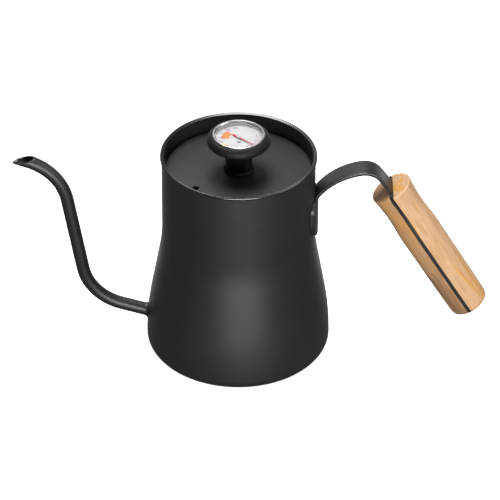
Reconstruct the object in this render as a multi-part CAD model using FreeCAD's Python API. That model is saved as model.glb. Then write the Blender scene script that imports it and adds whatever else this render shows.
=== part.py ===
"""Gooseneck pour-over kettle with a dial thermometer in the lid knob.

Units are millimetres. The origin is the centre of the flat base, +Z is up, +X points to the
handle and -X to the spout. Each function makes one sub-part and the last block writes them all.
"""

import FreeCAD, Part
import math
import os

Vector = FreeCAD.Vector
Z_AXIS = Vector(0, 0, 1)
ORIGIN = Vector(0, 0, 0)

# Vessel
NECK_R = 45.1              # outside of the straight neck
BELLY_R = 54.8             # widest radius, just above the base
RIM_TOP = 132.6
WALL = 0.8
FLARE_ANGLE = math.radians(10.1)
FLARE_ARC_R = 100.0        # hollow curve under the neck
BELLY_ARC_R = 167.0        # swelling curve down to the widest radius
CORNER_R = 7.0             # outer edge of the base
BEAD_R = 1.2               # rolled rim
BEAD_CENTRE_R = 44.8
RIM_FLAT = (60, 160)       # degrees round the bead between which it slopes flat towards the lid
CAPSULE_H = 3.5            # bonded base capsule
CAP_SHEET = 0.6
FLOOR_CORNER_R = 3.0
FLOOR_R = BELLY_R - WALL - FLOOR_CORNER_R   # edge of the flat floor, welded into the wall

# Seat ring that carries the lid inside the neck
SEAT_TOP = 121.1
SEAT_SHEET = 0.8
SEAT_BORE_R = 40.1
SEAT_LIP_BOTTOM = 114.0
SEAT_FLANGE_BOTTOM = 113.0

# Spout
SPOUT_R = 3.9
SPOUT_BORE_R = 3.3
SPOUT_ROOT = Vector(-48, 0, 18.4)
SPOUT_RISE = 16.8          # degrees above horizontal where it leaves the body
SPOUT_FOOT_RUN = 22.7
SPOUT_LOW_R, SPOUT_LOW_TURN = 32.7, 63.7
SPOUT_LONG_RUN = 49.7
SPOUT_HIGH_R, SPOUT_HIGH_TURN = 34.4, 60.7
SPOUT_TIP_RUN = 30.0
MOUTH_LIP = Vector(-131.4, 0, 125.9)   # lowest point of the slanted mouth
MOUTH_SLOPE = 14.7         # degrees that the mouth climbs towards the vessel
WELD_R = 5.3
WELD_RUN = 1.8

# Handle strap
STRAP_T = 2.0
STRAP_W = 14.0
STRAP_ROOT_Z = 104.6       # where the strap leaves the neck
STRAP_BENDS = ((6.6, 39.7, 0.6), (40.4, 37.8, 1.0), (11.5, 66.2, 6.8))   # radius, degrees, run after it
STRAP_LAST_BEND = (30.0, 5.3)
PAD_TOP, PAD_BOTTOM = 105.5, 79.8
PAD_HALF_W = 15.5
PAD_SHOULDER_R = 6.0
PAD_TOE_R = 13.0

# Grip
GRIP_START = 1.2           # from the strap's last bend to the wood
GRIP_LEN = 97.0
GRIP_TOP_EDGE, GRIP_END_EDGE = 1.3, 3.2
GRIP_PROFILE = ((1.3, 12.7), (8, 12.0), (16, 11.6), (24, 11.9), (32, 12.35),
                (45, 12.3), (78, 12.15), (93.8, 11.95))   # along, radius
TANG_SHOULDER = 0.8
TANG_SHOULDER_R = 11.2
SCREW_PLACES = (23.0, 74.0)
SCREW_R, SCREW_HOLE_R = 2.0, 2.2
HEAD_R, HEAD_H, HEAD_POCKET_R = 3.7, 2.2, 4.0
HEAD_SEAT = 8.2            # from the strap's middle to the underside of the head
SCREW_REACH = 8.5
INSERT_R, INSERT_LEN = 3.2, 8.0
HEX_SOCKET = 2.5           # across flats
SOCKET_DEPTH = 1.2

# Lid
LID_TOP = 122.3
LID_SHEET = 1.0
LID_R = 43.3
STEAM_HOLE_R = 1.9
STEAM_HOLE_AT = (-24.9, -20.2)
SKIRT_R = 37.6
SKIRT_SHEET = 0.7
SKIRT_BOTTOM = 109.0
SKIRT_FLANGE_R = 33.5
SEAL_IN_R, SEAL_R, SEAL_LIP_R = 37.8, 38.9, 39.9
SEAL_BOTTOM, SEAL_TOP = 113.0, 120.4

# Knob
KNOB_FOOT_R = 8.8
KNOB_NECK_R = 8.0
COLLAR_R = 18.5
COLLAR_Z = 142.0
KNOB_TOP = 146.0
POCKET_R = 15.4
POCKET_FLOOR = 140.9
BOSS_R = 5.0
BOSS_BOTTOM = 113.5
BORE_R = 4.0
WASHER_R, WASHER_T = 9.0, 0.9
NUT_FLATS, NUT_T = 16.0, 5.0
GROMMET_BOTTOM, GROMMET_TOP = 118.0, 138.5

# Thermometer
BEZEL_R = 15.2
BEZEL_TOP = 146.8
BEZEL_WINDOW_R = 13.7
CASE_R = 14.8
CASE_WALL = 0.5
CASE_BOTTOM = 141.1
CASE_TOP = 146.0
DIAL_R, DIAL_TOP, DIAL_T = 14.2, 143.3, 0.4
RETAINER_IN_R, RETAINER_TOP = 13.5, 144.4
GASKET_TOP = 145.0
LENS_TOP = 146.0
STEM_R, STEM_BORE_R = 2.0, 1.7
STEM_TIP = 34.5
STEM_TOP = 141.6
BUSH_BORE_R, BUSH_FLANGE_R = 0.55, 3.0
BUSH_BOTTOM, BUSH_TOP = 137.5, 142.2
COIL_IN_R, COIL_R = 0.9, 1.4
COIL_BOTTOM, COIL_TOP = 38.0, 64.0
COIL_ANCHOR = 36.5

# Pointer
SHAFT_R = 0.4
SHAFT_BOTTOM = 58.0
HUB_R = 1.2
HUB_BOTTOM, HUB_TOP = 143.6, 144.5
NEEDLE_BOTTOM, NEEDLE_TOP = 143.85, 144.1
NEEDLE_REACH, NEEDLE_TAIL = 11.0, 4.7
NEEDLE_ROOT_W, NEEDLE_TIP_W, NEEDLE_TAIL_W = 0.9, 0.35, 1.3
NEEDLE_ANGLE = -41.0       # resting direction, at room temperature


def section(start, *steps):
    """Face in the XZ plane; a step is an end point, or a (through, end) pair for an arc."""
    edges = []
    here = Vector(start[0], 0, start[1])
    for step in (*steps, start):
        curved = isinstance(step[0], tuple)
        end = step[1] if curved else step
        end = Vector(end[0], 0, end[1])
        if curved:
            through = Vector(step[0][0], 0, step[0][1])
            edges.append(Part.Arc(here, through, end).toShape())
        elif (end - here).Length > 1e-7:
            edges.append(Part.makeLine(here, end))
        here = end
    return Part.Face(Part.Wire(edges))


def turned(start, *steps):
    """Solid of revolution about the Z axis."""
    return section(start, *steps).revolve(ORIGIN, Z_AXIS, 360)


def ring(inner, outer, bottom, top):
    return turned((inner, bottom), (outer, bottom), (outer, top), (inner, top))


def disc(radius, bottom, top, x=0, y=0):
    return Part.makeCylinder(radius, top - bottom, Vector(x, y, bottom))


def arc_point(centre, radius, angle):
    return (centre[0] + radius * math.cos(angle), centre[1] + radius * math.sin(angle))


def wall_points(inset):
    """Tangent points of the vessel's wall, bottom to top, moved inwards by inset."""
    belly = (BELLY_R - BELLY_ARC_R, CORNER_R)
    belly_arc = [arc_point(belly, BELLY_ARC_R - inset, FLARE_ANGLE * part) for part in (0, 0.5, 1)]
    belly_top_r, belly_top_z = arc_point(belly, BELLY_ARC_R, FLARE_ANGLE)
    flare_end_r = NECK_R + FLARE_ARC_R * (1 - math.cos(FLARE_ANGLE))
    straight_h = (belly_top_r - flare_end_r) / math.tan(FLARE_ANGLE)
    neck_z = belly_top_z + straight_h + FLARE_ARC_R * math.sin(FLARE_ANGLE)
    flare = (NECK_R + FLARE_ARC_R, neck_z)
    angles = [math.pi + FLARE_ANGLE * part for part in (1, 0.5, 0)]
    flare_arc = [arc_point(flare, FLARE_ARC_R + inset, angle) for angle in angles]
    return belly_arc, flare_arc


def vessel_solid(inset, bottom, top):
    """The vessel's outside, or its inside when inset is the wall, as one solid lump."""
    belly, flare = wall_points(inset)
    return turned((0, bottom), (belly[0][0], bottom), belly[0], (belly[1], belly[2]), flare[0],
                  (flare[1], flare[2]), (NECK_R - inset, top), (0, top))


def body_shell(spout_hole):
    """Spun wall with a rolled rim, turned in at the foot to take the floor."""
    outer_belly, outer_flare = wall_points(0)
    inner_belly, inner_flare = wall_points(WALL)
    corner = (BELLY_R - CORNER_R, CORNER_R)
    low = math.asin((CAPSULE_H - CORNER_R) / CORNER_R)
    flat_start, flat_end = map(math.radians, RIM_FLAT)
    bead = (BEAD_CENTRE_R, RIM_TOP - BEAD_R * math.sin(flat_start))
    bead_start = -math.acos((NECK_R - BEAD_CENTRE_R) / BEAD_R)
    bead_end = math.pi + math.acos((BEAD_CENTRE_R - NECK_R + WALL) / BEAD_R)
    floor = CAPSULE_H + WALL
    floor_corner = (FLOOR_R, floor + FLOOR_CORNER_R)
    shell = turned(
        (FLOOR_R, CAPSULE_H),
        arc_point(corner, CORNER_R, low),
        (arc_point(corner, CORNER_R, low / 2), outer_belly[0]),
        (outer_belly[1], outer_belly[2]),
        outer_flare[0],
        (outer_flare[1], outer_flare[2]),
        arc_point(bead, BEAD_R, bead_start),
        (arc_point(bead, BEAD_R, (bead_start + flat_start) / 2), arc_point(bead, BEAD_R, flat_start)),
        arc_point(bead, BEAD_R, flat_end),
        (arc_point(bead, BEAD_R, (flat_end + bead_end) / 2), arc_point(bead, BEAD_R, bead_end)),
        inner_flare[2],
        (inner_flare[1], inner_flare[0]),
        inner_belly[2],
        (inner_belly[1], inner_belly[0]),
        (FLOOR_R + FLOOR_CORNER_R, floor_corner[1]),
        (arc_point(floor_corner, FLOOR_CORNER_R, -math.pi / 4), (FLOOR_R, floor)),
    )
    return shell.cut(spout_hole)


def body_floor():
    return disc(FLOOR_R, CAPSULE_H, CAPSULE_H + WALL)


def base_cap():
    """Magnetic steel dish under the aluminium disc."""
    flat_r = BELLY_R - CORNER_R
    corner = (flat_r, CORNER_R)
    top = math.asin((CAPSULE_H - CORNER_R) / CORNER_R)
    inner_r = CORNER_R - CAP_SHEET
    inner_top = math.asin((CAPSULE_H - CORNER_R) / inner_r)
    mid, inner_mid = (top - math.pi / 2) / 2, (inner_top - math.pi / 2) / 2
    return turned(
        (0, 0),
        (flat_r, 0),
        (arc_point(corner, CORNER_R, mid), arc_point(corner, CORNER_R, top)),
        arc_point(corner, inner_r, inner_top),
        (arc_point(corner, inner_r, inner_mid), (flat_r, CAP_SHEET)),
        (0, CAP_SHEET),
    )


def base_core():
    """Aluminium heat-spreading disc that fills the dish."""
    flat_r = BELLY_R - CORNER_R
    corner = (flat_r, CORNER_R)
    inner_r = CORNER_R - CAP_SHEET
    inner_top = math.asin((CAPSULE_H - CORNER_R) / inner_r)
    inner_mid = (inner_top - math.pi / 2) / 2
    return turned(
        (0, CAP_SHEET),
        (flat_r, CAP_SHEET),
        (arc_point(corner, inner_r, inner_mid), arc_point(corner, inner_r, inner_top)),
        (0, CAPSULE_H),
    )


def lid_seat_ring():
    """Pressed channel welded inside the neck, open downwards."""
    neck = NECK_R - WALL
    under = SEAT_TOP - SEAT_SHEET
    return turned(
        (neck, SEAT_FLANGE_BOTTOM),
        (neck, SEAT_TOP),
        (SEAT_BORE_R, SEAT_TOP),
        (SEAT_BORE_R, SEAT_LIP_BOTTOM),
        (SEAT_BORE_R + SEAT_SHEET, SEAT_LIP_BOTTOM),
        (SEAT_BORE_R + SEAT_SHEET, under),
        (neck - SEAT_SHEET, under),
        (neck - SEAT_SHEET, SEAT_FLANGE_BOTTOM),
    )


class Route:
    """A path in the XZ plane, built from straight runs and tangent arcs."""

    def __init__(self, start, heading):
        self.here = Vector(start)
        self.heading = heading      # degrees, measured from +X towards +Z
        self.edges = []

    def direction(self, turn=0.0):
        angle = math.radians(self.heading + turn)
        return Vector(math.cos(angle), 0, math.sin(angle))

    def run(self, length):
        end = self.here + self.direction() * length
        self.edges.append(Part.makeLine(self.here, end))
        self.here = end

    def bend(self, radius, turn):
        """Turn left for a positive angle, right for a negative one."""
        side = math.copysign(90, turn)
        centre = self.here + self.direction(side) * radius
        points = [centre - self.direction(side + part * turn) * radius for part in (0.5, 1)]
        self.edges.append(Part.Arc(self.here, *points).toShape())
        self.here = points[1]
        self.heading += turn

    def wire(self):
        return Part.Wire(self.edges)


def spout_route():
    route = Route(SPOUT_ROOT, 180 - SPOUT_RISE)
    route.run(SPOUT_FOOT_RUN)
    route.bend(SPOUT_LOW_R, -SPOUT_LOW_TURN)
    route.run(SPOUT_LONG_RUN)
    route.bend(SPOUT_HIGH_R, SPOUT_HIGH_TURN)
    route.run(SPOUT_TIP_RUN)
    return route.wire()


def pipe(wire, radius, start, heading):
    circle = Part.Wire(Part.makeCircle(radius, start, heading))
    return wire.makePipeShell([circle], True, True)


def mouth_cutter():
    """Block that removes everything beyond the slanted mouth."""
    size = 60.0
    block = Part.makeBox(2 * size, 2 * size, size, Vector(-size, -size, 0))
    block.rotate(ORIGIN, Vector(0, 1, 0), -MOUTH_SLOPE)
    block.translate(MOUTH_LIP)
    return block


def spout_parts():
    """The spout tube, and the plug shape of its hole in the vessel."""
    start = Route(SPOUT_ROOT, 180 - SPOUT_RISE)
    heading = start.direction()
    outer = pipe(spout_route(), SPOUT_R, SPOUT_ROOT, heading)
    bore = pipe(spout_route(), SPOUT_BORE_R, SPOUT_ROOT, heading)
    wall_r = vessel_solid(0, CORNER_R, RIM_TOP)
    reach = (BELLY_R - abs(SPOUT_ROOT.x)) / abs(heading.x)
    weld = Part.makeCone(WELD_R, SPOUT_R, WELD_RUN + reach / 2, SPOUT_ROOT + heading * reach / 2, heading)
    tube = outer.fuse(weld.cut(wall_r)).cut(bore).cut(mouth_cutter())
    inside = vessel_solid(WALL, CAPSULE_H, RIM_TOP)
    tube = tube.cut(inside)
    hole = outer.common(wall_r)
    return tube, hole


def strap_route():
    middle = Vector(NECK_R + STRAP_T / 2, 0, PAD_TOP - PAD_SHOULDER_R)
    route = Route(middle, 90)
    route.run(STRAP_ROOT_Z - middle.z)
    for radius, turn, run in STRAP_BENDS:
        route.bend(radius, -turn)
        route.run(run)
    route.bend(STRAP_LAST_BEND[0], -STRAP_LAST_BEND[1])
    return route


def strap_band(route, length):
    """Flat bar along the route, with a last straight run of the given length."""
    route.run(length)
    half = STRAP_T / 2
    start = route.edges[0].Vertexes[0].Point
    blade = Part.Wire([Part.makeLine(start - Vector(half, 0, 0), start + Vector(half, 0, 0))])
    face = route.wire().makePipeShell([blade], False, True)
    face.translate(Vector(0, -STRAP_W / 2, 0))
    return face.extrude(Vector(0, STRAP_W, 0))


def pad():
    """Wide rounded tab that wraps round the neck and is welded to it."""
    w, top, bottom = PAD_HALF_W, PAD_TOP, PAD_BOTTOM
    edge = math.sqrt(0.5)

    def yz(y, z):
        return Vector(0, y, z)

    def corner(y, z, radius, way):
        return yz(y - radius * (1 - edge) * math.copysign(1, y), z + way * radius * (1 - edge))

    toe, shoulder = PAD_TOE_R, PAD_SHOULDER_R
    edges = [
        Part.makeLine(yz(-w + shoulder, top), yz(w - shoulder, top)),
        Part.Arc(yz(w - shoulder, top), corner(w, top, shoulder, -1), yz(w, top - shoulder)).toShape(),
        Part.makeLine(yz(w, top - shoulder), yz(w, bottom + toe)),
        Part.Arc(yz(w, bottom + toe), corner(w, bottom, toe, 1), yz(w - toe, bottom)).toShape(),
        Part.makeLine(yz(w - toe, bottom), yz(-w + toe, bottom)),
        Part.Arc(yz(-w + toe, bottom), corner(-w, bottom, toe, 1), yz(-w, bottom + toe)).toShape(),
        Part.makeLine(yz(-w, bottom + toe), yz(-w, top - shoulder)),
        Part.Arc(yz(-w, top - shoulder), corner(-w, top, shoulder, -1), yz(-w + shoulder, top)).toShape(),
    ]
    blank = Part.Face(Part.Wire(edges)).extrude(Vector(NECK_R + STRAP_T, 0, 0))
    return blank.common(disc(NECK_R + STRAP_T, bottom, top))


def grip_placement():
    """Where the grip's own axis lies: its Z runs down the tang and its -X faces outwards."""
    route = strap_route()
    origin = route.here + route.direction() * GRIP_START
    return FreeCAD.Placement(origin, FreeCAD.Rotation(Vector(0, 1, 0), 90 - route.heading))


def grip_round():
    """The whole grip, before it is split, about its own Z axis."""
    profile = Part.BSplineCurve()
    profile.interpolate([Vector(radius, 0, along) for along, radius in GRIP_PROFILE])
    top_r, end_r = GRIP_PROFILE[0][1], GRIP_PROFILE[-1][1]
    top, end = GRIP_TOP_EDGE, GRIP_END_EDGE
    top_mid = arc_point((top_r - top, top), top, -math.pi / 4)
    end_mid = arc_point((end_r - end, GRIP_LEN - end), end, math.pi / 4)
    edges = [
        Part.makeLine(ORIGIN, Vector(top_r - top, 0, 0)),
        Part.Arc(Vector(top_r - top, 0, 0), Vector(top_mid[0], 0, top_mid[1]),
                 Vector(top_r, 0, top)).toShape(),
        profile.toShape(),
        Part.Arc(Vector(end_r, 0, GRIP_LEN - end), Vector(end_mid[0], 0, end_mid[1]),
                 Vector(end_r - end, 0, GRIP_LEN)).toShape(),
        Part.makeLine(Vector(end_r - end, 0, GRIP_LEN), Vector(0, 0, GRIP_LEN)),
        Part.makeLine(Vector(0, 0, GRIP_LEN), ORIGIN),
    ]
    return Part.Face(Part.Wire(edges)).revolve(ORIGIN, Z_AXIS, 360)


def across(radius, low, high, along):
    """Round bar across the grip, from low to high; the outer side is positive."""
    return Part.makeCylinder(radius, high - low, Vector(-low, 0, along), Vector(-1, 0, 0))


def slab(low, high):
    """Block that holds every point of the grip from low to high, outer side positive."""
    size = 2 * GRIP_LEN
    return Part.makeBox(high - low, size, size, Vector(-high, -size / 2, -size / 4))


def placed(shape):
    shape.Placement = grip_placement().multiply(shape.Placement)
    return shape


def handle_strap(vessel):
    tang_blank = grip_round().fuse(disc(TANG_SHOULDER_R, -TANG_SHOULDER, GRIP_TOP_EDGE))
    tang = tang_blank.common(slab(-STRAP_T / 2, STRAP_T / 2))
    for along in SCREW_PLACES:
        tang = tang.cut(across(SCREW_HOLE_R, -STRAP_T, STRAP_T, along))
    band = strap_band(strap_route(), GRIP_START)
    return band.fuse([pad(), placed(tang)]).cut(vessel).removeSplitter()


def grip_outer_half():
    half = grip_round().common(slab(STRAP_T / 2, 2 * COLLAR_R))
    for along in SCREW_PLACES:
        half = half.cut(across(INSERT_R, 0, STRAP_T / 2 + INSERT_LEN, along))
    return placed(half)


def grip_inner_half():
    half = grip_round().common(slab(-2 * COLLAR_R, -STRAP_T / 2))
    for along in SCREW_PLACES:
        half = half.cut(across(SCREW_HOLE_R, -2 * HEAD_SEAT, 0, along))
        half = half.cut(across(HEAD_POCKET_R, -2 * HEAD_SEAT, -HEAD_SEAT, along))
    return placed(half)


def hexagon(flats, bottom, height):
    radius = flats / math.sqrt(3)
    corners = [Vector(*arc_point((0, 0), radius, k * math.pi / 3), bottom) for k in range(7)]
    return Part.Face(Part.makePolygon(corners)).extrude(Vector(0, 0, height))


def grip_screws():
    screws = []
    for along in SCREW_PLACES:
        head = across(HEAD_R, -HEAD_SEAT - HEAD_H, -HEAD_SEAT, along)
        head = head.fuse(across(SCREW_R, -HEAD_SEAT, SCREW_REACH, along))
        socket = hexagon(HEX_SOCKET, -SOCKET_DEPTH, 2 * SOCKET_DEPTH)
        socket.rotate(ORIGIN, Vector(0, 1, 0), 90)
        socket.translate(Vector(HEAD_SEAT + HEAD_H, 0, along))
        screws.append(head.cut(socket))
    return placed(Part.makeCompound(screws))


def grip_inserts():
    low, high = STRAP_T / 2, STRAP_T / 2 + INSERT_LEN
    inserts = [across(INSERT_R, low, high, along).cut(across(SCREW_R, low, high, along))
               for along in SCREW_PLACES]
    return placed(Part.makeCompound(inserts))


def lid_cover():
    under = LID_TOP - LID_SHEET
    edge = arc_point((LID_R - LID_SHEET, under), LID_SHEET, math.pi / 4)
    cover = turned((BOSS_R, under), (LID_R, under), (edge, (LID_R - LID_SHEET, LID_TOP)), (BOSS_R, LID_TOP))
    return cover.cut(disc(STEAM_HOLE_R, under, LID_TOP, *STEAM_HOLE_AT))


def lid_skirt():
    """Spun ring spot-welded under the cover."""
    top = LID_TOP - LID_SHEET
    inner = SKIRT_R - SKIRT_SHEET
    return turned((inner, SKIRT_BOTTOM), (SKIRT_R, SKIRT_BOTTOM), (SKIRT_R, top), (SKIRT_FLANGE_R, top),
                  (SKIRT_FLANGE_R, top - SKIRT_SHEET), (inner, top - SKIRT_SHEET))


def lid_seal():
    """Silicone sleeve with two lips, between the skirt and the seat ring."""
    lip = SEAL_LIP_R - SEAL_R
    steps = []
    for centre in (SEAL_BOTTOM + 2 * lip, SEAL_TOP - 2 * lip):
        steps += [(SEAL_R, centre - lip), ((SEAL_LIP_R, centre), (SEAL_R, centre + lip))]
    return turned((SEAL_IN_R, SEAL_BOTTOM), (SEAL_R, SEAL_BOTTOM), *steps, (SEAL_R, SEAL_TOP),
                  (SEAL_IN_R, SEAL_TOP))


def knob_body():
    """Moulded knob with a pocket for the gauge and a hollow threaded boss."""
    return turned(
        (BORE_R, BOSS_BOTTOM),
        (BOSS_R, BOSS_BOTTOM),
        (BOSS_R, LID_TOP),
        (KNOB_FOOT_R, LID_TOP),
        (KNOB_FOOT_R, LID_TOP + 0.8),
        ((8.2, LID_TOP + 1.6), (KNOB_NECK_R, LID_TOP + 3.2)),
        (KNOB_NECK_R, 132.5),
        ((9.6, 137.0), (13.4, 139.1)),
        (16.6, 140.1),
        ((18.0, 140.7), (COLLAR_R, COLLAR_Z)),
        ((17.7, 144.6), (POCKET_R, KNOB_TOP)),
        (POCKET_R, POCKET_FLOOR),
        (BORE_R, POCKET_FLOOR),
    )


def knob_washer():
    top = LID_TOP - LID_SHEET
    return ring(BOSS_R, WASHER_R, top - WASHER_T, top)


def knob_nut():
    top = LID_TOP - LID_SHEET - WASHER_T
    return hexagon(NUT_FLATS, top - NUT_T, NUT_T).cut(disc(BOSS_R, top - NUT_T, top))


def stem_grommet():
    """Silicone sleeve in the knob's bore that holds the thermometer by friction."""
    return ring(STEM_R + 0.15, BORE_R, GROMMET_BOTTOM, GROMMET_TOP)


def thermometer_case():
    floor = CASE_BOTTOM + CASE_WALL
    inner = CASE_R - CASE_WALL
    return turned((STEM_R, CASE_BOTTOM), (CASE_R, CASE_BOTTOM), (CASE_R, CASE_TOP), (inner, CASE_TOP),
                  (inner, floor), (STEM_R, floor))


def thermometer_bezel():
    """Rolled ring that closes the case over the lens."""
    crown = BEZEL_TOP - 0.4
    return turned(
        (CASE_R, CASE_BOTTOM + 1.4),
        (BEZEL_R, CASE_BOTTOM + 1.4),
        (BEZEL_R, crown),
        ((BEZEL_R - 0.12, BEZEL_TOP - 0.12), (BEZEL_R - 0.4, BEZEL_TOP)),
        (BEZEL_WINDOW_R + 0.4, BEZEL_TOP),
        ((BEZEL_WINDOW_R + 0.12, BEZEL_TOP - 0.12), (BEZEL_WINDOW_R, crown)),
        (BEZEL_WINDOW_R, LENS_TOP),
        (CASE_R, CASE_TOP),
    )


def lens_gasket():
    return ring(RETAINER_IN_R, CASE_R - CASE_WALL, RETAINER_TOP, GASKET_TOP)


def thermometer_lens():
    return disc(CASE_R - CASE_WALL, GASKET_TOP, LENS_TOP)


def dial_retaining_ring():
    return ring(RETAINER_IN_R, CASE_R - CASE_WALL, DIAL_TOP, RETAINER_TOP)


def dial_face():
    return ring(HUB_R / 2, DIAL_R, DIAL_TOP - DIAL_T, DIAL_TOP)


def stem_bushing():
    """Brass boss that joins the stem to the case and carries the pointer's shaft."""
    floor = CASE_BOTTOM + CASE_WALL
    return turned((BUSH_BORE_R, BUSH_BOTTOM), (STEM_BORE_R, BUSH_BOTTOM), (STEM_BORE_R, floor),
                  (BUSH_FLANGE_R, floor), (BUSH_FLANGE_R, BUSH_TOP), (BUSH_BORE_R, BUSH_TOP))


def probe_stem():
    """Thin closed tube that dips into the water."""
    dome = arc_point((0, STEM_TIP + STEM_R), STEM_R, -math.pi / 4)
    return turned((0, STEM_TIP), (dome, (STEM_R, STEM_TIP + STEM_R)), (STEM_R, STEM_TOP),
                  (STEM_BORE_R, STEM_TOP), (STEM_BORE_R, COIL_ANCHOR), (0, COIL_ANCHOR))


def bimetal_coil():
    """Outer shape of the wound strip, anchored in the stem's tip."""
    return turned((0, COIL_ANCHOR), (STEM_BORE_R, COIL_ANCHOR), (STEM_BORE_R, COIL_BOTTOM),
                  (COIL_R, COIL_BOTTOM), (COIL_R, COIL_TOP), (COIL_IN_R, COIL_TOP),
                  (COIL_IN_R, COIL_BOTTOM), (0, COIL_BOTTOM))


def pointer_shaft():
    return disc(SHAFT_R, SHAFT_BOTTOM, HUB_TOP)


def pointer():
    """Tapered needle with a tail weight and a turned hub."""
    outline = [(-NEEDLE_TAIL, -NEEDLE_TAIL_W / 2), (0, -NEEDLE_ROOT_W / 2),
               (NEEDLE_REACH, -NEEDLE_TIP_W / 2), (NEEDLE_REACH, NEEDLE_TIP_W / 2),
               (0, NEEDLE_ROOT_W / 2), (-NEEDLE_TAIL, NEEDLE_TAIL_W / 2)]
    points = [Vector(x, y, NEEDLE_BOTTOM) for x, y in outline]
    blade = Part.Face(Part.makePolygon(points + points[:1])).extrude(
        Vector(0, 0, NEEDLE_TOP - NEEDLE_BOTTOM))
    hub = disc(HUB_R, HUB_BOTTOM, HUB_TOP)
    needle = blade.fuse(hub).cut(disc(SHAFT_R, HUB_BOTTOM, HUB_TOP))
    needle.rotate(ORIGIN, Z_AXIS, NEEDLE_ANGLE)
    return needle


def all_parts():
    spout, spout_hole = spout_parts()
    vessel = vessel_solid(0, CORNER_R, RIM_TOP)
    makers = (body_floor, base_cap, base_core, lid_seat_ring, grip_outer_half, grip_inner_half, grip_screws,
              grip_inserts, lid_cover, lid_skirt, lid_seal, knob_body, knob_washer, knob_nut,
              stem_grommet, thermometer_case, thermometer_bezel, thermometer_lens, lens_gasket,
              dial_face, dial_retaining_ring, stem_bushing, probe_stem, bimetal_coil, pointer,
              pointer_shaft)
    parts = {maker.__name__: maker() for maker in makers}
    parts["body_shell"] = body_shell(spout_hole)
    parts["spout_tube"] = spout
    parts["handle_strap"] = handle_strap(vessel)
    return parts


os.makedirs("parts", exist_ok=True)
for name, shape in sorted(all_parts().items()):
    shape.exportStep(f"parts/{name}.step")
    box = shape.BoundBox
    print(f"{name:22s} solids {len(shape.Solids)} valid {shape.isValid()} volume {shape.Volume:9.1f} "
          f"x {box.XMin:.1f} {box.XMax:.1f} y {box.YMin:.1f} {box.YMax:.1f} z {box.ZMin:.1f} {box.ZMax:.1f}")
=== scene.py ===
"""Looks of the gooseneck kettle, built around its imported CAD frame.

Lengths are millimetres in the CAD frame, and MM turns them into Blender's metres: +Z is up,
+X points to the handle and -X to the spout. Each piece and each material has its own function.
"""

import math

import bmesh
import bpy
from mathutils import Matrix, Vector


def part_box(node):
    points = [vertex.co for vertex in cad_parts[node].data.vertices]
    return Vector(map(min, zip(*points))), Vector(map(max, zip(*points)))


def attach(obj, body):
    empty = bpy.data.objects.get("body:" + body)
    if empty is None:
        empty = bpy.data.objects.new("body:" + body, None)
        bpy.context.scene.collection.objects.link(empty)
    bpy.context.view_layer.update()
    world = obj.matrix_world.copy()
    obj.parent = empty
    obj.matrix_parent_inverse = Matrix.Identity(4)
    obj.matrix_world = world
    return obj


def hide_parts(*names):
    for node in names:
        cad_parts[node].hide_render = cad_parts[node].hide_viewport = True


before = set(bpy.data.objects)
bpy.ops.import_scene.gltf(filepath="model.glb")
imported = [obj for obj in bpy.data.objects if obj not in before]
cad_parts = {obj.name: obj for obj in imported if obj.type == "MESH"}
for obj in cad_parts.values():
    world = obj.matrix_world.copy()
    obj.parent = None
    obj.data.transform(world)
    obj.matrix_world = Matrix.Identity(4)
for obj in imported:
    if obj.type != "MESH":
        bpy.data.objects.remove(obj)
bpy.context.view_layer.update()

MM = 0.001
TINY = 1e-6


def reach(node):
    """Lowest and highest corner of a CAD node, in millimetres."""
    low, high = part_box(node)
    return low / MM, high / MM


SHELL_LOW, SHELL_HIGH = reach("body_shell")
SEAT_LOW, SEAT_HIGH = reach("lid_seat_ring")
LID_HIGH = reach("lid_cover")[1]
SKIRT_LOW, SKIRT_HIGH = reach("lid_skirt")
SEAL_LOW, SEAL_HIGH = reach("lid_seal")
KNOB_LOW, KNOB_HIGH = reach("knob_body")
WASHER_LOW, WASHER_HIGH = reach("knob_washer")
NUT_LOW, NUT_HIGH = reach("knob_nut")
GROMMET_LOW, GROMMET_HIGH = reach("stem_grommet")
CASE_LOW, CASE_HIGH = reach("thermometer_case")
BEZEL_LOW, BEZEL_HIGH = reach("thermometer_bezel")
GLASS_LOW, GLASS_HIGH = reach("thermometer_lens")
GASKET_LOW, GASKET_HIGH = reach("lens_gasket")
RETAINER_LOW, RETAINER_HIGH = reach("dial_retaining_ring")
DIAL_LOW, DIAL_HIGH = reach("dial_face")
STEM_LOW, STEM_HIGH = reach("probe_stem")
POINTER_LOW, POINTER_HIGH = reach("pointer")

# Vessel
BELLY_R = SHELL_HIGH.y
RIM_TOP = SHELL_HIGH.z
NECK_R = 45.1
WALL = 0.8
FLARE_ANGLE = math.radians(10.1)
FLARE_ARC_R = 100.0
BELLY_ARC_R = 167.0
CORNER_R = 7.0
FLOOR_CORNER_R = 3.0
BEAD_R, BEAD_CENTRE_R = 1.2, 44.8
RIM_FLAT = (60, 160)       # degrees round the bead between which it slopes flat towards the lid
RIM_ARRIS = 0.25
CAPSULE_H = SHELL_LOW.z
CAP_SHEET = 0.6

SEAT_BORE_R, SEAT_LIP_BOTTOM = 40.1, 114.0

# Spout
SPOUT_R, SPOUT_BORE_R = 3.9, 3.3
SPOUT_ROOT = (-48.0, 18.4)
SPOUT_HEADING = 180 - 16.8
SPOUT_STEPS = ((22.7, 32.7, -63.7), (49.7, 34.4, 60.7), (30.0, 0, 0))   # run, bend radius, turn
MOUTH_LIP = Vector((-131.4, 0, 125.9))
MOUTH_SLOPE = math.radians(14.7)
WELD_R, WELD_RUN = 5.3, 2.6
LIP_ROUND = 0.12
SPOUT_TURNS, SPOUT_LENGTHS = 64, 110       # mesh fineness round the pipe and along it

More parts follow.
